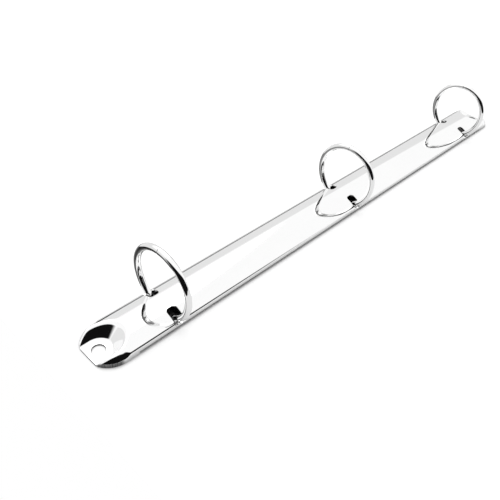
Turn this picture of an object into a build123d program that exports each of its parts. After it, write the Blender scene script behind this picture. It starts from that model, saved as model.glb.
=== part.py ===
"""Three-ring binder mechanism: a sprung arched cover, two hinged blades and six ring halves.

X runs along the cover, Y across it and Z up from the surface that it lies on. The origin is
under the middle of the cover. The rings are shut. Lengths are in millimetres and angles in
degrees. Left is the +Y side and right the -Y side, and rings are numbered from the -X end.
"""

from build123d import *
import math
import os

# Rings: three to the standard sheet punching, with the bore that sets how many sheets they hold.
ring_count = 3
ring_pitch = 108.0
ring_bore = 25.4
wire_diameter = 2.6
tip_lap = 1.8
tip_clearance = 0.06

# Foot of each ring half: a bend, then a tenon through the blade that is peened over below it.
foot_inset = 1.35
foot_bend_inner_radius = 0.3
foot_rise = 0.1
tenon_diameter = 1.7
tenon_clearance = 0.02
peen_diameter = 2.5
peen_height = 0.4
peen_flat_share = 0.6

# Cover: one sheet, arched across, with rounded shoulders, upright sides and drawn-in ends.
cover_overhang = 31.7
cover_width = 20.0
side_height = 2.75
arch_rise = 3.25
sheet = 0.7
shoulder_radius = 1.5
end_width_share = 0.46
corner_centre_offset = 0.8

# Landing sunk into each end of the cover, round about the hole for the rivet that fixes it to a binder.
landing_margin = 4.0
landing_draft_angle = 24.0
landing_slope_angle = 48.0
landing_rim_radius = 0.8
rivet_hole_diameter = 5.2
rivet_hole_inset = 4.2

# Notches in the cover that the feet of the rings pass through.
notch_clearance = 0.95
notch_bridge_share = 0.4
notch_corner_radius = 1.4

# Blades: flat strips whose round outer edges rock in the rolled lips of the cover.
blade_thickness = 1.0
blade_setback = 15.2
blade_gap = 0.24
blade_end_radius = 2.5
blade_shut_angle = 4.0
edge_clearance = 0.1
lip_reach = 0.8
lip_overhang = 1.5
peen_clearance = 0.25

# Tongues: tabs of each blade, stepped up over the inner edge of the other one.
tongue_count = 4
tongue_pitch_share = 0.5
tongue_stagger = 9.0
tongue_width = 8.0
tongue_thickness = 0.6
tongue_root = 2.8
tongue_ramp = 1.5
tongue_clearance = 0.35
tongue_overlap = 1.5
tongue_slit = 0.4

# Cutting bodies run this far past what they cut, and an edge this far above a level is clear of it.
overrun = 1.0
edge_slack = 0.01

# Sizes that follow from the ones above.
ring_span = (ring_count - 1) * ring_pitch
cover_length = ring_span + 2 * cover_overhang
cover_height = side_height + arch_rise
blade_length = cover_length - 2 * blade_setback
lip_length = blade_length + 2 * lip_overhang
half_length = cover_length / 2
half_width = cover_width / 2
end_half = half_width * end_width_share
corner_radius = half_width - corner_centre_offset
corner_x = half_length - math.sqrt(corner_radius**2 - (end_half - corner_centre_offset) ** 2)
arch_radius = (half_width**2 + arch_rise**2) / (2 * arch_rise)
wire_radius = wire_diameter / 2
ring_radius = ring_bore / 2 + wire_radius
foot_bend_radius = foot_bend_inner_radius + wire_radius
edge_radius = blade_thickness / 2
roll_inner = edge_radius + edge_clearance
roll_outer = roll_inner + sheet
pivot_y = half_width - roll_outer
pivot_z = roll_outer
blade_width = pivot_y - blade_gap / 2
landing_radius = half_width - landing_margin
hole_x = half_length - rivet_hole_inset
notch_length = wire_diameter + 2 * notch_clearance
notch_inner = half_width * notch_bridge_share
notch_sill_height = pivot_z + edge_radius
tongue_pitch = ring_pitch * tongue_pitch_share
tongue_span = (tongue_count - 1) * tongue_pitch
tongue_lift = edge_radius + tongue_clearance + tongue_thickness / 2
ring_places = [i * ring_pitch - ring_span / 2 for i in range(ring_count)]
tongue_places = [i * tongue_pitch - tongue_span / 2 + tongue_stagger for i in range(tongue_count)]

# Blade directions in the Y, Z section on the left: inwards along the shut blade, and up from it.
shut = math.radians(blade_shut_angle)
inward = Vector(-math.cos(shut), -math.sin(shut))
upward = Vector(-math.sin(shut), math.cos(shut))
pivot = Vector(pivot_y, pivot_z)
foot = pivot + inward * foot_inset
shoulder = foot + upward * edge_radius

# The bend of the foot touches both the foot's own line and the circle of the ring.
bend_centre = shoulder + upward * foot_rise - inward * foot_bend_radius
bend_reach = ring_radius + foot_bend_radius
ring_centre = Vector(0, bend_centre.Y + math.sqrt(bend_reach**2 - bend_centre.X**2))

half_turn = Rot(0, 0, 180)
both_ends = (Rot(0, 0, 0), half_turn)
mid, low, high = Align.CENTER, Align.MIN, Align.MAX


def cover_profile(inset):
    """The arch across the cover, taken in from its outer face and run past its sides and base."""
    top = Pos(0, cover_height - arch_radius) * Circle(arch_radius - inset)
    block = Rectangle(cover_width + overrun, cover_height + overrun, align=(mid, low))
    return top & Pos(0, -overrun) * block


def cover_plan(inset):
    """The cover from above: straight sides that round in to a narrower straight end."""
    length = 2 * (corner_x + corner_radius - inset)
    rounded = RectangleRounded(length, cover_width - 2 * inset, corner_radius - inset)
    return rounded & Rectangle(cover_length - 2 * inset, cover_width)


def arched_bar(inset):
    """The arch drawn out to the cover's length, wider than the cover."""
    return extrude(Plane.YZ * cover_profile(inset), half_length, both=True)


def cover_lump(inset, base):
    """The cover as a solid form without landings, from a base height up, with rounded shoulders."""
    plan = extrude(Pos(0, 0, base) * cover_plan(inset), cover_height - base)
    lump = arched_bar(inset) & plan
    arch = lump.faces().sort_by(Axis.Z)[-1]
    return fillet(arch.edges().sort_by(Axis.X)[1:-1], shoulder_radius - inset)


def landing_circle(inset, height):
    """Centre and radius of the round inner end of the landing's trough at one height."""
    draft = math.radians(landing_draft_angle)
    slope = math.radians(landing_slope_angle)
    rise = height - sheet
    radius = landing_radius + rise * math.tan(draft) + inset / math.cos(draft)
    inner = hole_x - landing_radius - rise * math.tan(slope) - inset / math.cos(slope)
    return inner + radius, radius


def landing_outline(inset, height):
    """The landing's trough at one height: a round inner end, open past the end of the cover."""
    centre, half = landing_circle(inset, height)
    past = half_length + overrun
    edges = [
        CenterArc((centre, 0), half, 90, 180),
        Line((centre, -half), (past, -half)),
        Line((past, -half), (past, half)),
        Line((past, half), (centre, half)),
    ]
    return Pos(0, 0, height) * make_face(edges)


def landing(inset, floor):
    """The trough sunk into the +X end: a bowl about the rivet hole, drawn out inwards as it rises."""
    top = cover_height + overrun
    centre, floor_radius = landing_circle(inset, floor)
    top_radius = landing_circle(inset, top)[1]
    across = Plane.YZ.offset(centre)
    slide = loft([landing_outline(inset, floor), landing_outline(inset, top)], ruled=True)
    bowl = Pos(centre, 0, floor) * Cone(floor_radius, top_radius, top - floor, align=(mid, mid, low))
    return split(slide, bisect_by=across, keep=Keep.BOTTOM) + split(bowl, bisect_by=across)


def above_floor(edge):
    """Whether an edge lies wholly above the floor of a landing."""
    return edge.bounding_box().min.Z > sheet + edge_slack


def sunk(form, trough):
    """The form with a landing's trough cut into it and the rim of the trough rounded over."""
    cut = form - trough
    rim = new_edges(form, trough, combined=cut).filter_by(above_floor)
    return fillet(rim, landing_rim_radius)


def rolled_lip():
    """The left side's lower edge, rolled in under the blade's round edge and ending in a lip."""
    roll = Pos(pivot_y, pivot_z) * (Circle(roll_outer) - Circle(roll_inner))
    corner = Pos(pivot_y, 0) * Rectangle(roll_outer, pivot_z, align=(low, low))
    lip = Pos(pivot_y, 0) * Rectangle(lip_reach, sheet, align=(high, low))
    return extrude(Plane.YZ * ((roll & corner) + lip), lip_length / 2, both=True)


def notch():
    """The opening in the left side of the cover for one ring foot."""
    depth = half_width + overrun - notch_inner
    plan = Rectangle(notch_length, depth, align=(mid, low))
    plan = fillet(plan.vertices().group_by(Axis.Y)[0], notch_corner_radius)
    rise = cover_height + overrun - notch_sill_height
    return extrude(Pos(0, notch_inner, notch_sill_height) * plan, rise)


def cover_plate():
    """The sprung cover, pressed from one sheet."""
    top = arched_bar(0)
    inside = cover_lump(sheet, -overrun)
    for end in both_ends:
        top = sunk(top, end * landing(0, sheet))
        inside -= end * landing(sheet, -edge_slack)
    cover = (cover_lump(0, 0) & top) - inside
    cover -= Box(lip_length, cover_width + overrun, pivot_z, align=(mid, mid, low))
    rivet_hole = Pos(hole_x, 0, 0) * Cylinder(rivet_hole_diameter / 2, 2 * sheet + overrun)
    relief_radius = peen_diameter / 2 + peen_clearance
    relief = Pos(0, foot.X, 0) * Cylinder(relief_radius, 2 * pivot_z)
    for end in both_ends:
        cover += end * rolled_lip()
        cover -= end * rivet_hole
        for place in ring_places:
            cover -= Pos(place, 0, 0) * end * notch()
            cover -= Pos(place, 0, 0) * end * relief
    return cover


def blade_tongue():
    """One tongue in the blade's own frame, whose origin is on the pivot and whose Y points outwards."""
    rest = -blade_width - blade_gap / 2
    root = rest + tongue_root
    step = root - tongue_ramp
    tip = rest - tongue_overlap
    under = tongue_lift - tongue_thickness / 2
    over = tongue_lift + tongue_thickness / 2
    points = [
        (root, -edge_radius),
        (root, edge_radius),
        (step, over),
        (tip, over),
        (tip, under),
        (step, under),
    ]
    section = make_face(Polyline(*points, close=True))
    return extrude(Plane.YZ * section, tongue_width / 2, both=True)


def blade():
    """The left blade, shut: a flat strip with a round outer edge, tongues and tenon holes."""
    strip = Rectangle(blade_width, blade_thickness, align=(high, mid))
    flat = extrude(Plane.YZ * (strip + Circle(edge_radius)), blade_length / 2, both=True)
    flat = fillet(flat.edges().filter_by(Axis.Z).group_by(Axis.Y)[0], blade_end_radius)
    window_width = tongue_width + 2 * tongue_slit
    window_depth = tongue_root - blade_gap / 2
    window = Box(window_width, window_depth + overrun, 2 * blade_thickness, align=(mid, high, mid))
    for place in tongue_places:
        flat -= Pos(place, window_depth - blade_width, 0) * window
        flat += Pos(place, 0, 0) * blade_tongue()
    hole = Cylinder(tenon_diameter / 2 + tenon_clearance, 2 * blade_thickness)
    for place in ring_places:
        flat -= Pos(place, -foot_inset, 0) * hole
    return Pos(0, pivot_y, pivot_z) * Rot(blade_shut_angle, 0, 0) * flat


def ring_half():
    """The left half of a ring, shut: bent wire with half a lap at the tip and a peened foot."""
    outward = (bend_centre - ring_centre).normalized()
    joint = ring_centre + outward * ring_radius
    crown_turn = math.degrees(math.atan2(outward.X, outward.Y) + tip_lap / ring_radius)
    foot_turn = math.degrees(shut - math.asin(outward.Y))
    section = Plane((0, joint.X, joint.Y), z_dir=(0, -outward.Y, outward.X)) * Circle(wire_radius)
    bow = revolve(section, Axis((0, ring_centre.X, ring_centre.Y), (1, 0, 0)), crown_turn)
    bend = revolve(section, Axis((0, bend_centre.X, bend_centre.Y), (1, 0, 0)), foot_turn)
    reach = ring_radius + wire_diameter
    tip_cut = Box(reach, reach, reach, align=(mid, high, mid))
    lap_cut = Box(reach, reach, reach, align=(high, high, mid))
    top = ring_centre.Y + ring_radius
    bow -= Pos(0, (tip_clearance - tip_lap) / 2, top) * tip_cut
    bow -= Pos(tip_clearance / 2, (tip_clearance + tip_lap) / 2, top) * lap_cut
    peen_flat = peen_diameter / 2 * peen_flat_share
    leg = Pos(0, 0, edge_radius) * Cylinder(wire_radius, foot_rise, align=(mid, mid, low))
    tenon = Cylinder(tenon_diameter / 2, blade_thickness)
    peen = Pos(0, 0, -edge_radius) * Cone(peen_flat, peen_diameter / 2, peen_height, align=(mid, mid, high))
    foot_frame = Plane((0, foot.X, foot.Y), x_dir=(1, 0, 0), z_dir=(0, upward.X, upward.Y))
    return bow + bend + foot_frame * (leg + tenon + peen)


def main():
    """Build every piece in place and write one file for each."""
    os.makedirs("parts", exist_ok=True)
    left_blade = blade()
    left_half = ring_half()
    pieces = {
        "cover_plate": cover_plate(),
        "left_blade": left_blade,
        "right_blade": half_turn * left_blade,
    }
    for number, place in enumerate(ring_places, start=1):
        pieces[f"left_ring_half_{number}"] = Pos(place, 0, 0) * left_half
        pieces[f"right_ring_half_{number}"] = Pos(place, 0, 0) * half_turn * left_half
    for name, piece in pieces.items():
        export_step(piece, f"parts/{name}.step")


if __name__ == "__main__":
    main()
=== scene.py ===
"""Looks of the ring binder mechanism on a white studio floor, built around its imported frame.

Lengths are in metres, and sizes that belong to the object are written in millimetres times MM.
X runs along the cover, Y across it and Z up. Left is the +Y side and right the -Y side.
"""

import logging
from dataclasses import dataclass, field
from enum import Enum

import bpy
import numpy as np
from mathutils import Matrix, Vector


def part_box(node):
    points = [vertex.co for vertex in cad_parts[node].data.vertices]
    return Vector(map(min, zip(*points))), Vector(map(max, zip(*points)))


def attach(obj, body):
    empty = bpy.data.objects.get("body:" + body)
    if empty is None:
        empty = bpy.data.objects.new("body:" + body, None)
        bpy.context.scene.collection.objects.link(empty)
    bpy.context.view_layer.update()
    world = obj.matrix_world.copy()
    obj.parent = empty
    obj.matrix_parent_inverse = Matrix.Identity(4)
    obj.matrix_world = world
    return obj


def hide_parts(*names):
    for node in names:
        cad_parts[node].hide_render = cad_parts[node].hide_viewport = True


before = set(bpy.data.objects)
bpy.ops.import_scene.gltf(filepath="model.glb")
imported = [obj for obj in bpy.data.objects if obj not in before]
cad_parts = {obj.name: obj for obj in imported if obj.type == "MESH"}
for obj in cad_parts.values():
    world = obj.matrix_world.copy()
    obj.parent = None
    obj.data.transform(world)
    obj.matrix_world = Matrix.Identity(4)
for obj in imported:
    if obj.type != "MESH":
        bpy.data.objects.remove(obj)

Pair = tuple[float, float]
Triple = tuple[float, float, float]
Box = tuple[float, float, float, float]

MM = 0.001
TINY = 1e-9
IMAGE_PIXELS = 500
log = logging.getLogger("ring_binder_mechanism")


class Side(Enum):
    """The two sides of the mechanism, each with the sign that its half turn about Z gives X and Y."""

    LEFT = 1.0
    RIGHT = -1.0

    @property
    def word(self) -> str:
        """Returns the side's name as node and body names spell it."""
        return self.name.lower()


class Slot(Enum):
    """The record's material slots."""

    COVER = "cover_nickel"
    RINGS = "ring_nickel"
    BLADES = "blade_steel"


def left_halves() -> list[str]:
    """Returns the names of the left ring halves in the frame, one for each ring."""
    return [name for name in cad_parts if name.startswith("left_ring_half")]


# Shader nodes


@dataclass(frozen=True)
class Graph:
    """A node tree that is being written.

    Attributes:
        tree: The Blender node tree.
    """

    tree: bpy.types.NodeTree

    def add(
        self, kind: str, inputs: dict | None = None, output: str | int = 0, **settings: object
    ) -> "Socket":
        """Adds a node of any kind.

        Args:
            kind: Blender's type name of the node.
            inputs: Sockets or plain values by the input's name or place.
            output: Name or place of the output to hand back.
            **settings: Attributes of the node itself.

        Returns:
            The chosen output.
        """
        node = self.tree.nodes.new(kind)
        for name, value in settings.items():
            setattr(node, name, value)
        for key, value in (inputs or {}).items():
            self.feed(value, node.inputs[key])
        return Socket(self, node.outputs[output])

    def ray(self, kind: str) -> "Socket":
        """Returns 1 for rays of one kind, named as Blender names it, and 0 for all others."""
        return self.add("ShaderNodeLightPath", output=kind)

    def feed(self, value: object, target: bpy.types.NodeSocket) -> None:
        """Links a socket to an input, or sets a plain value on it.

        Args:
            value: A Socket or a plain value.
            target: The input that takes it.
        """
        if isinstance(value, Socket):
            self.tree.links.new(value.socket, target)
        else:
            target.default_value = value


@dataclass(frozen=True)
class Socket:
    """A value in a node tree, with arithmetic that adds the nodes for it.

    Attributes:
        graph: The tree that it belongs to.
        socket: The Blender output.
    """

    graph: Graph
    socket: bpy.types.NodeSocket

    def _math(self, operation: str, first: object, second: object) -> "Socket":
        """Returns the result of a math node for two values."""
        return self.graph.add("ShaderNodeMath", {0: first, 1: second}, operation=operation)

    def __add__(self, other: object) -> "Socket":
        """Returns the sum."""
        return self._math("ADD", self, other)

    def __radd__(self, other: object) -> "Socket":
        """Returns the sum, with a number first."""
        return self._math("ADD", other, self)

    def __sub__(self, other: object) -> "Socket":
        """Returns the difference."""
        return self._math("SUBTRACT", self, other)

    def __rsub__(self, other: object) -> "Socket":
        """Returns the difference, with a number first."""
        return self._math("SUBTRACT", other, self)

    def __mul__(self, other: object) -> "Socket":
        """Returns the product."""
        return self._math("MULTIPLY", self, other)

    def __rmul__(self, other: object) -> "Socket":
        """Returns the product, with a number first."""
        return self._math("MULTIPLY", other, self)

    def __neg__(self) -> "Socket":
        """Returns the value with its sign turned."""
        return self * -1.0

    def greater(self, other: object) -> "Socket":
        """Returns the greater of this value and another."""
        return self._math("MAXIMUM", self, other)

    def ramp(self, start: float, end: float, low: float = 0.0, high: float = 1.0) -> "Socket":
        """A smooth step between two levels.

        Args:
            start: Value at which the step begins.
            end: Value at which the step is complete.
            low: Level before it.
            high: Level after it.

        Returns:
            The stepped value.
        """
        levels = {"Value": self, "From Min": start, "From Max": end, "To Min": low, "To Max": high}
        return self.graph.add("ShaderNodeMapRange", levels, interpolation_type="SMOOTHSTEP")

    def part(self, axis: str) -> "Socket":
        """Returns one coordinate of this place or direction."""
        return self.graph.add("ShaderNodeSeparateXYZ", {0: self}, output=axis)

    def bump(self, strength: float, distance: float) -> "Socket":
        """Returns the normal that this height bends, at a strength and over a distance."""
        levels = {"Height": self, "Strength": strength, "Distance": distance}
        return self.graph.add("ShaderNodeBump", levels)

    def grey(self) -> "Socket":
        """Returns this value as a grey colour."""
        return self.graph.add("ShaderNodeCombineColor", {0: self, 1: self, 2: self})


# Finishes


class Paint:
    """A material that is being written for the Principled shader.

    Attributes:
        material: The Blender material.
        graph: Its node tree.
        place: The shaded place on the object.
    """

    def __init__(self, name: str) -> None:
        """Starts the material.

        Args:
            name: Name of the material.
        """
        self.material = bpy.data.materials.new(name)
        self.material.use_nodes = True
        self.graph = Graph(self.material.node_tree)
        self.place = self.graph.add("ShaderNodeTexCoord", output="Object")

    def noise(self, scale: float | Triple, detail: float) -> Socket:
        """Adds noise that stays with the object.

        Args:
            scale: Its fineness per metre, the same all ways or along each axis.
            detail: Number of finer layers in it.

        Returns:
            The noise, about one half on average.
        """
        where = self.place
        if isinstance(scale, tuple):
            where = self.graph.add("ShaderNodeMapping", {"Vector": where, "Scale": scale})
            scale = 1.0
        return self.graph.add("ShaderNodeTexNoise", {"Vector": where, "Scale": scale, "Detail": detail})

    def finish(self, inputs: dict[str, object]) -> bpy.types.Material:
        """Feeds the shader.

        Args:
            inputs: Sockets or plain values by the name of the shader's input.

        Returns:
            The finished material.
        """
        shader = self.material.node_tree.nodes["Principled BSDF"]
        for name, value in inputs.items():
            self.graph.feed(value, shader.inputs[name])
        return self.material


@dataclass(frozen=True)
class BrightMetal:
    """Metal whose brightness and roughness vary with clouds and a grain, by default polished nickel.

    Attributes:
        name: Name of the material.
        shade: Brightness.
        gloss: Roughness.
        cloud_scale: Fineness of the clouds, per metre.
        cloud_spread: How far brightness and roughness vary with the clouds.
        grain_scale: Fineness of the grain along each axis, per metre.
        grain_detail: Number of finer layers in the grain.
        grain_spread: How far brightness and roughness vary with the grain.
        relief: Depth of the surface's relief.
        relief_strength: Share of the relief that shows.
        relief_grain: Whether the relief follows the grain, and not the clouds.
    """

    name: str
    shade: float = 0.97
    gloss: float = 0.055
    cloud_scale: float = 90.0
    cloud_spread: Pair = (0.03, 0.018)
    grain_scale: Triple = (60.0, 2600.0, 2600.0)
    grain_detail: float = 2.0
    grain_spread: Pair = (0.02, 0.012)
    relief: float = 0.002 * MM
    relief_strength: float = 0.25
    relief_grain: bool = False

    def build(self) -> bpy.types.Material:
        """Returns the material."""
        paint = Paint(self.name)
        clouds = paint.noise(self.cloud_scale, detail=3.0)
        grain = paint.noise(self.grain_scale, self.grain_detail)
        spreads = zip((self.shade, self.gloss), self.cloud_spread, self.grain_spread)
        levels = [base + (clouds - 0.5) * cloud + (grain - 0.5) * line for base, cloud, line in spreads]
        shade, gloss = self.press_marks_and_shade(paint, *levels)
        height = grain if self.relief_grain else clouds
        inputs = {
            "Base Color": shade.grey(),
            "Roughness": gloss,
            "Metallic": 1.0,
            "Normal": height.bump(self.relief_strength, self.relief),
        }
        return paint.finish(inputs)

    def press_marks_and_shade(self, paint: Paint, shade: Socket, gloss: Socket) -> tuple[Socket, Socket]:
        """Returns brightness and roughness as they are, with no marks of the press and no painted shade."""
        return shade, gloss


@dataclass(frozen=True)
class DrawnNickel(BrightMetal):
    """The cover's plating, whose drawn-in corner walls keep upright press marks and a painted shade.

    Attributes:
        corner_x: Where the corners begin.
        corner_fade: Distance over which the marks set in past that.
        wall_top: Height at which the marks end.
        wall_fade: Height over which they fade below it.
        upright: Upward parts of the normal between which the marks fade as a wall leans.
        mark_scale: The marks round and down the wall, per metre.
        mark_least: Dullness between the streaks.
        mark_spread: How much more a streak can have.
        dark_mark_and_shade: Loss of brightness at full dullness, for the press marks and for painted shade.
        mark_gloss: Gain of roughness there.
    """

    corner_x: float = 0.131
    corner_fade: float = 2.0 * MM
    wall_top: float = 2.3 * MM
    wall_fade: float = 0.3 * MM
    upright: Pair = (0.1, 0.25)
    mark_scale: Triple = (2600.0, 2600.0, 60.0)
    mark_least: float = 0.6
    mark_spread: float = 0.8
    dark_mark_and_shade: float = 0.75
    mark_gloss: float = 0.3

    def press_marks_and_shade(self, paint: Paint, shade: Socket, gloss: Socket) -> tuple[Socket, Socket]:
        """Dulls the upright walls past the corners' start with streaks and darkens them as painted shade.

        Args:
            paint: The material.
            shade: Brightness without marks.
            gloss: Roughness without marks.

        Returns:
            Brightness and roughness with the marks and the painted shade.
        """
        along = paint.place.part("X")
        lean = paint.graph.add("ShaderNodeNewGeometry", output="True Normal").part("Z")
        past = along.greater(-along).ramp(self.corner_x, self.corner_x + self.corner_fade)
        low = paint.place.part("Z").ramp(self.wall_top - self.wall_fade, self.wall_top, 1.0, 0.0)
        upright = lean.greater(-lean).ramp(*self.upright, 1.0, 0.0)
        streaks = paint.noise(self.mark_scale, detail=2.0)
        # Painted shade with the press marks: the upright corner walls are darkened to stand for the contact
        # shadow that they mirror.
        marks = past * low * upright * (self.mark_least + streaks * self.mark_spread)
        return shade - marks * self.dark_mark_and_shade, gloss + marks * self.mark_gloss


@dataclass(frozen=True)
class RolledSteel(BrightMetal):
    """Bare spring steel strip, with dull patches as its clouds and rolling lines as its grain."""

    shade: float = 0.5
    gloss: float = 0.3
    cloud_scale: float = 160.0
    cloud_spread: Pair = (0.1, 0.1)
    grain_scale: Triple = (25.0, 1800.0, 1800.0)
    grain_detail: float = 4.0
    grain_spread: Pair = (0.16, 0.12)
    relief: float = 0.01 * MM
    relief_strength: float = 0.3
    relief_grain: bool = True


# Surfaces


def soft_least(first: np.ndarray, second: np.ndarray, blend: float) -> np.ndarray:
    """The lesser of two heights, rounded where they cross.

    Where the heights differ by less than the blend, a parabola joins them that lies a quarter of
    the blend below the crossing.

    Args:
        first: Heights.
        second: Heights on the same grid.
        blend: Difference of height within which they merge.

    Returns:
        The merged heights.
    """
    share = np.clip(0.5 + 0.5 * (second - first) / blend, 0.0, 1.0)
    return second + share * (first - second) - blend * share * (1.0 - share)


def placed(name: str, data: bpy.types.ID) -> bpy.types.Object:
    """Puts a mesh, a lamp or a camera into the scene.

    Args:
        name: Name of the object.
        data: What it holds.

    Returns:
        The object, at the origin.
    """
    thing = bpy.data.objects.new(name, data)
    bpy.context.scene.collection.objects.link(thing)
    return thing


def flat_sheet(name: str, box: Box, height: float) -> bpy.types.Object:
    """Makes a level rectangle.

    Args:
        name: Name of the object.
        box: Where it begins and ends along X, and along Y.
        height: Height at which it lies.

    Returns:
        The object.
    """
    left, right, front, back = box
    mesh = bpy.data.meshes.new(name)
    corners = [(left, front), (right, front), (right, back), (left, back)]
    mesh.from_pydata([(*corner, height) for corner in corners], [], [(0, 1, 2, 3)])
    return placed(name, mesh)


@dataclass(frozen=True)
class Skin:
    """A surface of triangles.

    Attributes:
        points: Places of its points.
        triangles: Rows of three point numbers, which turn left as seen from outside.
    """

    points: np.ndarray
    triangles: np.ndarray

    @classmethod
    def grid(cls, places: np.ndarray) -> "Skin":
        """Covers a grid of points with two triangles for each cell.

        Args:
            places: The points by line and column.

        Returns:
            The surface.
        """
        lines, columns = places.shape[:2]
        corner = np.arange(lines - 1)[:, None] * columns + np.arange(columns - 1)[None, :]
        corner = corner.ravel()
        lower = np.stack([corner + columns + 1, corner + columns, corner], axis=1)
        upper = np.stack([corner + 1, corner + columns + 1, corner], axis=1)
        return cls(places.reshape(-1, 3), np.concatenate([lower, upper]))

    def welded(self, grain: float = 1e-8) -> "Skin":
        """Joins points that coincide and drops triangles that have no area left.

        Args:
            grain: Places closer than this are one point.

        Returns:
            What remains.
        """
        keys = np.round(self.points / grain).astype(np.int64)
        _, first, number = np.unique(keys, axis=0, return_index=True, return_inverse=True)
        triangles = number.reshape(-1)[self.triangles]
        a, b, c = triangles.T
        return Skin(self.points[first], triangles[(a != b) & (b != c) & (c != a)])

    def trimmed(self, keep: np.ndarray) -> "Skin":
        """Cuts the surface along the zero line of a measure and keeps the part where it is positive.

        A triangle that the line crosses gives way to the one or two triangles on the kept side, whose new
        corners lie on its edges, in proportion to the measure at their ends.

        Args:
            keep: The measure at each point.

        Returns:
            The part that is kept.
        """
        points, triangles = self.points, self.triangles
        inside = keep >= 0.0
        count = inside[triangles].sum(axis=1)
        whole = triangles[count == 3]
        crossed = triangles[(count == 1) | (count == 2)]
        odd = inside[crossed].sum(axis=1) == 1
        alone = np.argmax(inside[crossed] == odd[:, None], axis=1)
        order = (alone[:, None] + np.arange(3)) % 3
        tip, left, right = np.take_along_axis(crossed, order, axis=1).T
        ends = np.concatenate([np.stack([tip, left], axis=1), np.stack([tip, right], axis=1)])
        edges, number = np.unique(np.sort(ends, axis=1), axis=0, return_inverse=True)
        number = number.reshape(-1) + len(points)
        start, stop = keep[edges[:, 0]], keep[edges[:, 1]]
        share = (start / (start - stop))[:, None]
        cuts = points[edges[:, 0]] * (1.0 - share) + points[edges[:, 1]] * share
        near_left, near_right = number[: len(crossed)], number[len(crossed):]
        tips = np.stack([tip, near_left, near_right], axis=1)[odd]
        wide = np.stack([near_left, left, right], axis=1)[~odd]
        rest = np.stack([near_left, right, near_right], axis=1)[~odd]
        kept = np.concatenate([whole, tips, wide, rest])
        return Skin(np.concatenate([points, cuts]), kept).welded()

    def normals(self) -> np.ndarray:
        """Directions square to the surface at its points, averaged over the triangles that meet there.

        Returns:
            One unit direction for each point.
        """
        a, b, c = self.points[self.triangles].transpose(1, 0, 2)
        facing = np.cross(b - a, c - a)
        total = np.zeros_like(self.points)
        for corner in range(3):
            np.add.at(total, self.triangles[:, corner], facing)
        return total / np.maximum(np.linalg.norm(total, axis=1, keepdims=True), 1e-30)

    def thickened(self, sheet: np.ndarray) -> "Skin":
        """Gives this outer skin its thickness: an inner skin, and a band along each open edge.

        Args:
            sheet: Thickness of the sheet at each point.

        Returns:
            The closed shell.
        """
        points, triangles = self.points, self.triangles
        inner = points - sheet[:, None] * self.normals()
        sides = np.concatenate([triangles[:, [0, 1]], triangles[:, [1, 2]], triangles[:, [2, 0]]])
        ends = np.sort(sides, axis=1)
        _, number, uses = np.unique(ends, axis=0, return_inverse=True, return_counts=True)
        a, b = sides[uses[number.reshape(-1)] == 1].T
        below = len(points)
        upper = np.stack([b, a, a + below], axis=1)
        lower = np.stack([b, a + below, b + below], axis=1)
        shell = np.concatenate([triangles, triangles[:, ::-1] + below, upper, lower])
        return Skin(np.concatenate([points, inner]), shell)

    def mesh_object(self, name: str, crease: float = 38.0) -> bpy.types.Object:
        """Makes a smooth mesh with sharp creases, at the origin.

        Args:
            name: Name of the object.
            crease: Angle between faces, in degrees, above which their edge is sharp.

        Returns:
            The object.
        """
        size, count = self.triangles.size, len(self.triangles)
        mesh = bpy.data.meshes.new(name)
        mesh.vertices.add(len(self.points))
        mesh.vertices.foreach_set("co", self.points.astype(np.float32).ravel())
        mesh.loops.add(size)
        mesh.loops.foreach_set("vertex_index", self.triangles.astype(np.int32).ravel())
        mesh.polygons.add(count)
        mesh.polygons.foreach_set("loop_start", np.arange(0, size, 3, dtype=np.int32))
        mesh.polygons.foreach_set("use_smooth", np.ones(count, dtype=bool))
        mesh.update(calc_edges=True)
        mesh.validate()
        mesh.set_sharp_from_angle(angle=np.radians(crease))
        log.info("%s: %d triangles", name, count)
        return placed(name, mesh)


# The object's pieces


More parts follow.
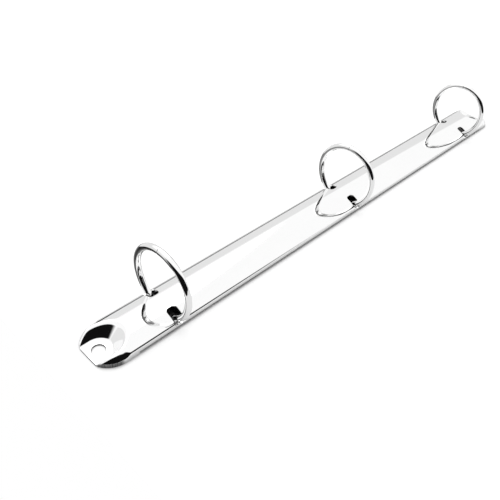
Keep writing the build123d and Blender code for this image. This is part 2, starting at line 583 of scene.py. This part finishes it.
@dataclass
class CoverPlate:
    """The sprung cover, pressed from one sheet, as one fine surface with its thickness.

    Attributes:
        half_length: Half the cover's length, from the frame.
        half_width: Half its width, from the frame.
        height: Height of its crown, from the frame.
        ring_places: Places of the rings along the cover, from the frame.
        sheet: Thickness of the sheet.
        side_height: Height at which the arch would meet the upright sides.
        shoulder: Radius between the arch and the sides.
        flank_foot: Height at which the drawn flank of a corner begins.
        flank_slope: Slope of that flank from level, in degrees.
        flank_fade: How far above its place the flank starts, at the ends of the rolled lips.
        flank_blend: Difference of height within which the flank merges with the arch.
        corner_offset: Distance of a corner arc's centre from the middle.
        end_half: Half the width of each straight end.
        landing_margin: Distance of the landing's floor from the sides.
        hole_inset: Distance of the rivet hole from the end.
        hole_radius: Radius of the rivet hole.
        draft: Lean of the landing's sides from upright, in degrees.
        slope: Lean of its round inner end from upright, in degrees.
        rim: Height over which the landing's rim is rounded.
        toe: Height over which the foot of the landing's wall is rounded.
        lip_half: Half the length of the rolled lips.
        roll: Outer radius of the rolled lip.
        lip_reach: Width of the lip past the roll.
        notch_half: Half the length of a notch for a ring foot.
        notch_inner: Distance of its inner end from the middle.
        notch_corner: Radius of its inner corners.
        sill: Height of its sill in the side.
        relief_place: Distance of the clearance for a ring's peened foot from the middle.
        relief_radius: Radius of that clearance.
        rim_share: Share of a narrow rim's width that each of its two skins may take.
        landing_reach: Length from the end that has close lines for the landing.
        notch_beside: Distances of the lines beside a notch.
        line_counts: Number of lines on a corner, on a landing, between the lips' ends, round the corner
            of a notch, and from the notch's middle to it.
        columns: Number of columns on each side of the crown, over the end's width and beyond it.
        rows: Number of points down a side, round the roll and along the lip.
    """

    half_length: float = field(init=False)
    half_width: float = field(init=False)
    height: float = field(init=False)
    ring_places: list[float] = field(init=False)
    sheet: float = 0.7 * MM
    side_height: float = 2.75 * MM
    shoulder: float = 1.5 * MM
    flank_foot: float = 1.9 * MM
    flank_slope: float = 54.0
    flank_fade: float = 3.0 * MM
    flank_blend: float = 0.6 * MM
    corner_offset: float = 0.8 * MM
    end_half: float = 4.6 * MM
    landing_margin: float = 5.2 * MM
    hole_inset: float = 4.2 * MM
    hole_radius: float = 2.6 * MM
    draft: float = 41.0
    slope: float = 45.0
    rim: float = 1.2 * MM
    toe: float = 0.4 * MM
    lip_half: float = 126.0 * MM
    roll: float = 1.3 * MM
    lip_reach: float = 0.8 * MM
    notch_half: float = 2.25 * MM
    notch_inner: float = 4.0 * MM
    notch_corner: float = 1.4 * MM
    sill: float = 1.8 * MM
    relief_place: float = 7.353 * MM
    relief_radius: float = 1.5 * MM
    rim_share: float = 0.45
    landing_reach: float = 18.0 * MM
    notch_beside: Triple = (0.3 * MM, 0.8 * MM, 1.6 * MM)
    line_counts: tuple[int, ...] = (41, 45, 43, 7, 3)
    columns: tuple[int, int] = (20, 40)
    rows: tuple[int, int, int] = (6, 9, 4)

    def __post_init__(self) -> None:
        """Takes the main sizes from the frame."""
        _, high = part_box("cover_plate")
        self.half_length, self.half_width, self.height = (float(size) for size in high)
        boxes = [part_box(name) for name in left_halves()]
        self.ring_places = sorted(float(low.x + high.x) / 2 for low, high in boxes)

    @property
    def corner_radius(self) -> float:
        """Returns the radius of the corners' arcs."""
        return self.half_width - self.corner_offset

    @property
    def straight(self) -> float:
        """Returns where the corners begin."""
        reach = np.sqrt(self.corner_radius**2 - (self.end_half - self.corner_offset) ** 2)
        return self.half_length - float(reach)

    @property
    def arch_radius(self) -> float:
        """Returns the radius of the arch over the width and rise."""
        rise = self.height - self.side_height
        return (self.half_width**2 + rise**2) / (2 * rise)

    def lines(self) -> tuple[np.ndarray, np.ndarray]:
        """Places of the grid's lines along the cover.

        They follow the corner's arc by equal angles, are close together over the landings and the
        notches, and have one line each side of where a rolled lip ends.

        Returns:
            Places along X, and whether each line has the rolled lip.
        """
        on_corner, on_landing, between, on_bend, to_bend = self.line_counts
        sweep = np.arccos((self.end_half - self.corner_offset) / self.corner_radius)
        corner = self.straight + self.corner_radius * np.sin(np.linspace(0.0, sweep, on_corner))
        landing = np.linspace(self.half_length - self.landing_reach, self.straight, on_landing)
        ends = np.concatenate([landing, corner, [self.lip_half]])
        turn = np.linspace(0.0, np.pi / 2, on_bend)
        bend = self.notch_half - self.notch_corner + self.notch_corner * np.sin(turn)
        beside = self.notch_half + np.array(self.notch_beside)
        notch = np.concatenate([np.linspace(0.0, bend[0], to_bend), bend, beside])
        notches = np.concatenate([place + way * notch for place in self.ring_places for way in (-1, 1)])
        plain = np.linspace(-self.lip_half, self.lip_half, between)
        along = np.unique(np.round(np.concatenate([ends, -ends, notches, plain]), 8))
        inside = np.abs(along) <= self.lip_half + TINY
        outside = np.abs(along) >= self.lip_half - TINY
        places = np.concatenate([along[inside], along[outside]])
        lipped = np.concatenate([np.ones(inside.sum(), bool), np.zeros(outside.sum(), bool)])
        order = np.lexsort((np.where(places > 0, ~lipped, lipped), places))
        return places[order], lipped[order]

    def half_width_at(self, along: np.ndarray) -> np.ndarray:
        """Returns half the outline's width at places along X: straight sides, then arcs that touch them."""
        past = np.maximum(np.abs(along) - self.straight, 0.0)
        return self.corner_offset + np.sqrt(self.corner_radius**2 - past**2)

    def arch(self, across: np.ndarray) -> np.ndarray:
        """Returns heights of the arch across the cover, a circular arc with its top at the crown."""
        return self.height - self.arch_radius + np.sqrt(self.arch_radius**2 - across**2)

    def rounded_arch(self, along: np.ndarray, across: np.ndarray) -> np.ndarray:
        """Height of the arch with its shoulder rounded over towards the outline.

        The shoulder is the arc that touches both the local slope of the arch and the upright side. The
        distance to the outline is taken square to the side or the corner's arc. In the corners a flank of
        even slope, which sinks in smoothly from above past the lips' ends, cuts the shoulder off.

        Args:
            along: Places along X.
            across: Places along Y.

        Returns:
            Heights.
        """
        x, y = np.abs(along), np.abs(across)
        out = np.maximum(y - self.corner_offset, 0.0)
        reach = np.maximum(np.hypot(np.maximum(x - self.straight, 0.0), out), TINY)
        inset = np.maximum(self.corner_radius - reach, 0.0)
        fall = y / np.sqrt(self.arch_radius**2 - y**2) * out / reach
        lean = np.arctan(fall)
        bow = np.sqrt(np.maximum(self.shoulder**2 - (self.shoulder - inset) ** 2, 0.0))
        drop = self.shoulder / np.cos(lean) - (self.shoulder - inset) * fall - bow
        rounded = self.arch(y) - np.where(inset < self.shoulder * (1.0 - np.sin(lean)), drop, 0.0)
        growth = np.clip((x - self.lip_half) / (self.straight - self.lip_half), 0.0, 1.0)
        away = self.flank_fade * (1.0 - growth**2 * (3.0 - 2.0 * growth))
        flank = self.flank_foot + inset * np.tan(np.radians(self.flank_slope)) + away
        return soft_least(rounded, flank, self.flank_blend)

    def trough(self, along: np.ndarray, across: np.ndarray) -> np.ndarray:
        """Height of the landing's floor and walls.

        The floor runs from the end to the rivet hole between straight sides and ends in a half circle about
        the hole. The sides lean by the draft. Towards the middle the trough is drawn out as it rises: its
        round inner end grows with the draft while its toe recedes with the slope, so the rise there is a
        root of a quadratic.

        Args:
            along: Places along X.
            across: Places along Y.

        Returns:
            Heights.
        """
        spread, recede = np.tan(np.radians([self.draft, self.slope]))
        floor = self.half_width - self.landing_margin
        behind = np.abs(along) - (self.half_length - self.hole_inset)
        beside = np.abs(across)
        shift = recede - spread
        square = shift**2 - spread**2
        half = behind * shift - floor * spread
        plain = behind**2 + beside**2 - floor**2
        round_rise = (-half - np.sqrt(np.maximum(half**2 - square * plain, 0.0))) / square
        side_rise = (beside - floor) / spread
        rise = np.where(behind + round_rise * shift < 0.0, round_rise, side_rise)
        return self.sheet - soft_least(np.zeros_like(rise), -rise, self.toe)

    def top(self, along: np.ndarray, across: np.ndarray) -> np.ndarray:
        """Returns heights of the cover: the rounded arch or the landing sunk into it, with a rounded rim."""
        return soft_least(self.rounded_arch(along, across), self.trough(along, across), self.rim)

    def skin(self) -> Skin:
        """The outer skin before its openings are cut.

        Each line runs from the left lip over the crown to the right lip. Columns on the top run straight
        along the cover over the end's width, and beyond it they spread out to the outline and crowd there as
        a cosine does. Below the top an upright side goes down to the roll, which is a quarter circle with a
        flat lip, or straight down to the base where the cover has no lip.

        Returns:
            The skin.
        """
        along, lipped = self.lines()
        edge = self.half_width_at(along)[:, None]
        within, beyond = self.columns
        on_side, on_roll, on_lip = self.rows
        crowd = (1.0 - np.cos(np.linspace(0.0, np.pi, beyond + 1)[None, 1:])) / 2
        y_within = np.broadcast_to(np.linspace(0.0, self.end_half, within + 1), (len(along), within + 1))
        y_half = np.concatenate([y_within, self.end_half + (edge - self.end_half) * crowd], axis=1)
        y_top = np.concatenate([y_half[:, :0:-1], -y_half], axis=1)
        z_top = self.top(along[:, None], y_top)
        brow = z_top[:, :1]
        fall = np.linspace(0.0, 1.0, on_side)[None, 1:]
        z_side = brow + (np.minimum(self.roll, brow) - brow) * fall
        y_side = np.broadcast_to(edge, z_side.shape)
        turn = np.linspace(0.0, np.pi / 2, on_roll)[1:]
        lip = np.linspace(0.0, self.lip_reach, on_lip)[1:]
        inward = np.concatenate([self.roll * (1.0 - np.cos(turn)), self.roll + lip])
        upward = np.concatenate([self.roll * (1.0 - np.sin(turn)), np.zeros_like(lip)])
        down = np.linspace(1.0, 0.0, len(inward) + 1)[1:]
        y_low = np.where(lipped[:, None], edge - inward, edge)
        z_low = np.where(lipped[:, None], upward, z_side[:, -1:] * down)
        y_left = np.concatenate([y_side, y_low], axis=1)[:, ::-1]
        z_left = np.concatenate([z_side, z_low], axis=1)[:, ::-1]
        y_all = np.concatenate([y_left, y_top, -y_left[:, ::-1]], axis=1)
        z_all = np.concatenate([z_left, z_top, z_left[:, ::-1]], axis=1)
        x_all = np.broadcast_to(along[:, None], y_all.shape)
        skin = Skin.grid(np.stack([x_all, y_all, z_all], axis=-1))
        line = skin.triangles // y_all.shape[1]
        same = lipped[line].all(axis=1) | (~lipped[line]).all(axis=1)
        return Skin(skin.points, skin.triangles[same]).welded()

    def clear_of_openings(self, points: np.ndarray) -> np.ndarray:
        """How far points lie outside the cover's openings, which is negative within one.

        A rivet hole is a circle in plan. A notch is a rectangle with round inner corners that is open to the
        side, above its sill. The clearance for a peened foot is a circle in the lip.

        Args:
            points: Places of the points.

        Returns:
            One distance for each point.
        """
        x, y, z = points.T
        clear = np.hypot(np.abs(x) - (self.half_length - self.hole_inset), y) - self.hole_radius
        for place in self.ring_places:
            off = np.abs(x - place) - (self.notch_half - self.notch_corner)
            out = self.notch_inner + self.notch_corner - np.abs(y)
            square = np.hypot(np.maximum(off, 0.0), np.maximum(out, 0.0))
            plan = square + np.minimum(np.maximum(off, out), 0.0) - self.notch_corner
            clear = np.minimum(clear, np.maximum(plan, self.sill - z))
            relief = np.hypot(x - place, np.abs(y) - self.relief_place) - self.relief_radius
            clear = np.minimum(clear, np.maximum(relief, z - self.roll))
        return clear

    def thickness(self, points: np.ndarray) -> np.ndarray:
        """Thickness of the sheet, which runs out where the rim between landing and corner grows narrow.

        The rim's width is the distance to the outline plus the distance to the landing's floor, and each of
        the two skins takes less than half of it.

        Args:
            points: Places of the outer skin's points.

        Returns:
            One thickness for each point.
        """
        x, y = np.abs(points[:, 0]), np.abs(points[:, 1])
        reach = np.hypot(np.maximum(x - self.straight, 0.0), np.maximum(y - self.corner_offset, 0.0))
        from_floor = y - (self.half_width - self.landing_margin)
        rim = np.maximum(self.corner_radius - reach, 0.0) + np.maximum(from_floor, 0.0)
        return np.where(from_floor > 0.0, np.minimum(self.sheet, self.rim_share * rim), self.sheet)

    def build(self) -> bpy.types.Object:
        """Returns the cover as an object that rides on the housing and stands for the CAD cover."""
        skin = self.skin()
        skin = skin.trimmed(self.clear_of_openings(skin.points))
        skin = skin.thickened(self.thickness(skin.points))
        skin.points[:, 0] = np.clip(skin.points[:, 0], -self.half_length, self.half_length)
        cover = skin.mesh_object("cover_plate_look")
        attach(cover, "housing")
        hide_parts("cover_plate")
        return cover

    def dress(self, cover: bpy.types.Object) -> None:
        """Gives the cover's object its finish."""
        cover.data.materials.append(DrawnNickel("cover_nickel_plating", corner_x=self.straight).build())


@dataclass
class RingHalf:
    """One half of a ring: bent round wire with half a lap at its tip and a peened foot.

    Attributes:
        side: The side that it belongs to.
        number: Its number from the -X end.
        wire: Radius of the wire.
        bore: Bore of the shut ring.
        lap: Length of the lap at the tip.
        gap: Clearance in the lap.
        pivot: Place of the blade's pivot across and up.
        lean: Angle of the shut blade below level, in degrees.
        inset: Distance of the foot from the pivot along the blade.
        bend: Radius of the foot's bend.
        rise: Straight length above the blade.
        blade: Thickness of the blade.
        tenon: Radius of the tenon.
        peen: Radius of the peened head.
        peen_height: Height of the peened head.
        peen_crown: Share of its radius that its flat crown has.
        chamfer: Break of the tip's edge.
        around: Number of points round the wire.
        counts: Number of places on the lap, the bow and the bend.
    """

    side: Side
    number: int
    wire: float = 1.3 * MM
    bore: float = 25.4 * MM
    lap: float = 1.8 * MM
    gap: float = 0.06 * MM
    pivot: Pair = (8.7 * MM, 1.3 * MM)
    lean: float = 4.0
    inset: float = 1.35 * MM
    bend: float = 1.6 * MM
    rise: float = 0.1 * MM
    blade: float = 1.0 * MM
    tenon: float = 0.85 * MM
    peen: float = 1.25 * MM
    peen_height: float = 0.4 * MM
    peen_crown: float = 0.6
    chamfer: float = 0.12 * MM
    around: int = 48
    counts: tuple[int, int, int] = (6, 84, 15)

    @property
    def node(self) -> str:
        """Returns the name of the CAD node that this stands for."""
        return f"{self.side.word}_ring_half_{self.number}"

    def stations(self) -> tuple[np.ndarray, np.ndarray, np.ndarray, np.ndarray]:
        """The wire's middle line from the tip to the foot, in the left section.

        The bow is an arc about the ring's centre, which lies where a bend of its own radius touches both the
        bow and the foot's line. Then come the bend, a short straight, the tenon and the peened head.

        Returns:
            Places across and up, directions square to the line, radii, and whether a place is in the lap.
        """
        on_lap, on_bow, on_bend = self.counts
        tilt = np.radians(self.lean)
        inward = np.array([-np.cos(tilt), -np.sin(tilt)])
        upward = np.array([-np.sin(tilt), np.cos(tilt)])
        foot = np.array(self.pivot) + inward * self.inset
        shoulder = foot + upward * self.blade / 2
        bend_centre = shoulder + upward * self.rise - inward * self.bend
        radius = self.bore / 2 + self.wire
        centre = np.array([0.0, bend_centre[1] + np.sqrt((radius + self.bend) ** 2 - bend_centre[0] ** 2)])
        toward = np.arctan2(bend_centre[1] - centre[1], bend_centre[0])
        tip = np.pi / 2 + np.arcsin((self.lap - self.gap) / 2 / radius)
        step = np.pi / 2 - np.arcsin((self.lap + self.gap) / 2 / radius)
        nib = self.chamfer / radius
        bow = np.concatenate([[tip, tip, tip - nib], np.linspace(tip - nib, step, on_lap)[1:]])
        bow = np.concatenate([bow, np.linspace(step, toward, on_bow)])
        bow_out = np.stack([np.cos(bow), np.sin(bow)], axis=1)
        bow_radii = np.full(len(bow), self.wire)
        bow_radii[:2] = 0.0, self.wire - self.chamfer
        turn = np.linspace(toward + np.pi, np.pi + tilt, on_bend)[1:]
        turn_out = np.stack([np.cos(turn), np.sin(turn)], axis=1)
        over, under = self.blade / 2, -self.blade / 2
        crown = under - self.peen_height
        heights = np.array([over, over, under, under, crown, crown])
        head = [self.peen, self.peen_crown * self.peen, 0.0]
        foot_radii = np.array([self.wire, self.tenon, self.tenon, *head])
        feet = foot + heights[:, None] * upward
        places = np.concatenate([centre + radius * bow_out, bend_centre + self.bend * turn_out, feet])
        outs = np.concatenate([bow_out, -turn_out, np.tile(-inward, (len(feet), 1))])
        radii = np.concatenate([bow_radii, np.full(len(turn), self.wire), foot_radii])
        lapped = np.zeros(len(places), bool)
        lapped[: len(bow) - on_bow] = True
        return places, outs, radii, lapped

    def build(self) -> bpy.types.Object:
        """Sweeps a circle along the stations, cut flat in the lap.

        Returns:
            The half as an object that rides on its blade's body and stands for the CAD half.
        """
        places, outs, radii, lapped = self.stations()
        angle = np.linspace(0.0, 2 * np.pi, self.around + 1)
        x = radii[:, None] * np.cos(angle)
        x = np.where(lapped[:, None], np.maximum(x, self.gap / 2), x)
        out = radii[:, None] * np.sin(angle)
        yz = places[:, None, :] + out[..., None] * outs[:, None, :]
        points = np.concatenate([x[..., None], yz], axis=-1)
        points[..., :2] *= self.side.value
        low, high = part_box(self.node)
        points[..., 0] += float(low.x + high.x) / 2
        half = Skin.grid(points).welded().mesh_object(f"{self.node}_look")
        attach(half, f"{self.side.word}_side")
        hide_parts(self.node)
        return half


@dataclass
class Rings:
    """The six ring halves.

    Attributes:
        grain_scale: Fine polishing marks on the wire, per metre.
    """

    grain_scale: Triple = (900.0, 900.0, 900.0)

    def build(self) -> list[bpy.types.Object]:
        """Returns the halves of every ring."""
        numbers = range(1, len(left_halves()) + 1)
        return [RingHalf(side, number).build() for side in Side for number in numbers]

    def dress(self, halves: list[bpy.types.Object]) -> None:
        """Gives the halves their finish.

        Args:
            halves: The halves' objects.
        """
        finish = BrightMetal("ring_nickel_plating", grain_scale=self.grain_scale).build()
        for half in halves:
            half.data.materials.append(finish)


@dataclass
class Blades:
    """The two blades, which keep their CAD meshes."""

    def dress(self) -> None:
        """Gives both blades their finish."""
        finish = RolledSteel("blade_strip_steel").build()
        for side in Side:
            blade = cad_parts[f"{side.word}_blade"]
            blade.data.materials.clear()
            blade.data.materials.append(finish)
            log.info("%s: %d faces of its CAD mesh", blade.name, len(blade.data.polygons))


# The studio


@dataclass(frozen=True)
class Viewpoint:
    """The photograph's camera, as an orbit about the object with a small tilt.

    Attributes:
        azimuth: Heading of the camera from the object, in degrees, 0 on the -Y side.
        elevation: Height of the camera above the horizon, in degrees.
        roll: Turn of the image about the line of sight, in degrees.
        shift: Place of the object's origin right of and below the line of sight, and ahead.
        focal: Focal length in image pixels.
        sensor: Width of the sensor in the camera's own millimetres.
    """

    azimuth: float = -49.905
    elevation: float = 40.65
    roll: float = -6.293
    shift: Triple = (43.048 * MM, -23.33 * MM, 266.449 * MM)
    focal: float = 555.718
    sensor: float = 36.0

    def axes(self) -> np.ndarray:
        """Returns rows that point right, down and forward in the image."""
        turn, lift, lean = np.radians([self.azimuth, self.elevation, self.roll])
        back = np.array([np.sin(turn) * np.cos(lift), -np.cos(turn) * np.cos(lift), np.sin(lift)])
        right = np.cross(-back, [0.0, 0.0, 1.0])
        right /= np.linalg.norm(right)
        down = np.cross(-back, right)
        tilted_right = np.cos(lean) * right + np.sin(lean) * down
        tilted_down = np.cos(lean) * down - np.sin(lean) * right
        return np.array([tilted_right, tilted_down, -back])

    def build(self) -> bpy.types.Object:
        """Adds the camera and makes it the scene's own.

        Returns:
            The camera object.
        """
        axes = self.axes()
        right, down, forward = axes
        data = bpy.data.cameras.new("photo_camera")
        data.sensor_width = self.sensor
        data.lens = self.focal / IMAGE_PIXELS * self.sensor
        data.clip_start = MM
        camera = placed("photo_camera", data)
        place = -axes.T @ np.array(self.shift)
        columns = np.column_stack([right, -down, -forward, place])
        camera.matrix_world = Matrix([*columns.tolist(), [0.0, 0.0, 0.0, 1.0]])
        bpy.context.scene.camera = camera
        return camera


@dataclass(frozen=True)
class Studio:
    """A white studio: a floor, a pale grey far wall, an unlit camera side, a lamp and a grey card.

    Attributes:
        matt: Roughness of the floor and the card.
        floor_half: How far the floor reaches to the far side and to both others.
        floor_near: How far it reaches to the camera's end.
        floor_shade: Colour of the floor.
        floor_spread: How far the colour varies.
        floor_grain: Fineness of that, per metre.
        floor_glow: Light that lifts the floor to white where it is seen.
        floor_mirrored: Share of that light which metal and glass show.
        shadow_reach: Distance within which the object dims that light, a shadow painted into the glow.
        shadow_edge: Openness at which the light begins and at which it is full.
        card_box: Where the card begins and ends along X, and along Y.
        card_height: Height at which it lies.
        card_shade: Its colour.
        card_dark: Its colour towards the unlit end.
        card_grade: Where that end's colour is complete and where it ends, along X.
        card_clouds: Share of the colour that stays in the darkest cloud, and how much more others have.
        cloud_scale: Fineness of the clouds, per metre.
        lamp_power: Power of the soft lamp over the far side.
        lamp_width: Width of its square face.
        lamp_place: Place of its middle.
        far_grey: Level of the far wall.
        far_top: Top of the far wall above the horizon, in degrees.
        far_soft: Softness of that edge, as a sine.
        far_side: Part of the direction along Y at which its ends reach their full grey.
        unlit: Level of the camera side.
        unlit_heading: Heading of its middle, in degrees from the X axis.
        unlit_half: Half its width on the horizon, in degrees.
        unlit_top: Its height at the middle above the horizon, in degrees.
        unlit_soft: Softness of its edge, as a cosine.
    """

    matt: float = 0.9
    floor_half: float = 6.0
    floor_near: float = 0.152
    floor_shade: float = 0.6
    floor_spread: float = 0.02
    floor_grain: float = 900.0
    floor_glow: float = 0.52
    floor_mirrored: float = 0.4
    shadow_reach: float = 3.0 * MM
    shadow_edge: Pair = (0.45, 0.78)
    card_box: Box = (-180.0 * MM, 160.0 * MM, 13.0 * MM, 70.0 * MM)
    card_height: float = 3.1 * MM
    card_shade: float = 0.24
    card_dark: float = 0.02
    card_grade: Pair = (-125.0 * MM, -108.0 * MM)
    card_clouds: Pair = (0.4, 1.2)
    cloud_scale: float = 40.0
    lamp_power: float = 8.0
    lamp_width: float = 1.4
    lamp_place: Triple = (0.31, 0.86, 1.31)
    far_grey: float = 0.8
    far_top: float = 24.0
    far_soft: float = 0.02
    far_side: float = 0.2
    unlit: float = 0.005
    unlit_heading: float = -126.0
    unlit_half: float = 76.0
    unlit_top: float = 52.0
    unlit_soft: float = 0.1

    def light(self) -> bpy.types.World:
        """Makes the world, which is white to the eye but lights and is mirrored as a partly dark room.

        The far side is grey low down. The unlit part, on the camera side, is a flat-topped hump on the
        horizon. It ends where the cosine of the heading from its middle equals a border that grows with the
        fourth power of the height.

        Returns:
            The world.
        """
        world = bpy.data.worlds.new("studio")
        world.use_nodes = True
        graph = Graph(world.node_tree)
        toward = graph.add("ShaderNodeTexCoord", output="Generated")
        up, across = toward.part("Z"), toward.part("Y")
        flat = {0: toward, 1: (1.0, 1.0, 0.0)}
        level_way = graph.add("ShaderNodeVectorMath", flat, operation="MULTIPLY")
        level_way = graph.add("ShaderNodeVectorMath", {0: level_way}, operation="NORMALIZE")
        heading, half, top, far_top = np.radians(
            [self.unlit_heading, self.unlit_half, self.unlit_top, self.far_top]
        )
        both = {0: level_way, 1: (float(np.cos(heading)), float(np.sin(heading)), 0.0)}
        facing = graph.add("ShaderNodeVectorMath", both, output="Value", operation="DOT_PRODUCT")
        border = float(np.cos(half))
        growth = float((1.0 - border) / np.sin(top) ** 4)
        edge = float(np.sin(far_top))
        low = up.ramp(edge - self.far_soft, edge + self.far_soft, 1.0, 0.0)
        far = across.ramp(0.0, self.far_side) * low
        hump = facing - up * up * up * up * growth
        near = hump.ramp(border - self.unlit_soft, border + self.unlit_soft)
        level = (1.0 - far * (1.0 - self.far_grey)) * (1.0 - near * (1.0 - self.unlit))
        level = level.greater(graph.ray("Is Camera Ray"))
        graph.feed(level.grey(), world.node_tree.nodes["Background"].inputs["Color"])
        bpy.context.scene.world = world
        return world

    def lamp(self) -> bpy.types.Object:
        """Makes the soft lamp, which faces the object from over the far side.

        Returns:
            The lamp.
        """
        data = bpy.data.lights.new("soft_lamp", "AREA")
        data.energy = self.lamp_power
        data.size = self.lamp_width
        lamp = placed("soft_lamp", data)
        aim = Vector(self.lamp_place).to_track_quat("Z", "Y").to_matrix().to_4x4()
        lamp.matrix_world = Matrix.Translation(self.lamp_place) @ aim
        return lamp

    def floor(self) -> bpy.types.Object:
        """Makes the floor, which keeps the object's shadow and glows away from it to the eye and to metal.

        Returns:
            The floor.
        """
        far = self.floor_half
        floor = flat_sheet("floor", (-self.floor_near, far, -far, far), 0.0)
        paint = Paint("white_floor")
        graph = paint.graph
        shade = self.floor_shade + (paint.noise(self.floor_grain, detail=3.0) - 0.5) * self.floor_spread
        mirrored = graph.ray("Is Glossy Ray").greater(graph.ray("Is Transmission Ray"))
        seen = graph.ray("Is Camera Ray").greater(mirrored * self.floor_mirrored)
        reach = {"Distance": self.shadow_reach}
        # Painted shadow: ambient occlusion near the object dims the glow, on top of the floor's own shade
        # from the world and the lamp.
        open_sky = graph.add("ShaderNodeAmbientOcclusion", reach, output="AO", samples=16)
        inputs = {
            "Base Color": shade.grey(),
            "Roughness": self.matt,
            "Specular IOR Level": 0.0,
            "Emission Color": (seen * open_sky.ramp(*self.shadow_edge)).grey(),
            "Emission Strength": self.floor_glow,
        }
        floor.data.materials.append(paint.finish(inputs))
        return floor

    def card(self) -> bpy.types.Object:
        """Makes the grey card that the rings' far sides mirror, which only reflections show.

        Returns:
            The card.
        """
        # Painted reflection: a sheet that only reflections show, whose grey stands in for dark surroundings
        # and shade beside the cover, darkest towards the unlit end.
        card = flat_sheet("grey_card", self.card_box, self.card_height)
        card.visible_camera = False
        card.visible_diffuse = False
        card.visible_shadow = False
        paint = Paint("grey_card")
        least, more = self.card_clouds
        shade = paint.place.part("X").ramp(*self.card_grade, self.card_dark, self.card_shade)
        shade = shade * (least + paint.noise(self.cloud_scale, detail=2.0) * more)
        inputs = {"Base Color": shade.grey(), "Roughness": self.matt, "Specular IOR Level": 0.0}
        card.data.materials.append(paint.finish(inputs))
        return card


def main() -> None:
    """Builds the object's looks and the studio round them."""
    logging.basicConfig(level=logging.INFO, format="%(name)s %(message)s")
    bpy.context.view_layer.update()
    cover, rings, blades = CoverPlate(), Rings(), Blades()
    cover.dress(cover.build())
    rings.dress(rings.build())
    blades.dress()
    studio = Studio()
    for piece in (studio.light(), studio.lamp(), studio.floor(), studio.card(), Viewpoint().build()):
        log.info("%s: studio", piece.name)
    bpy.context.scene.view_settings.view_transform = "Standard"


if __name__ == "__main__":
    main()
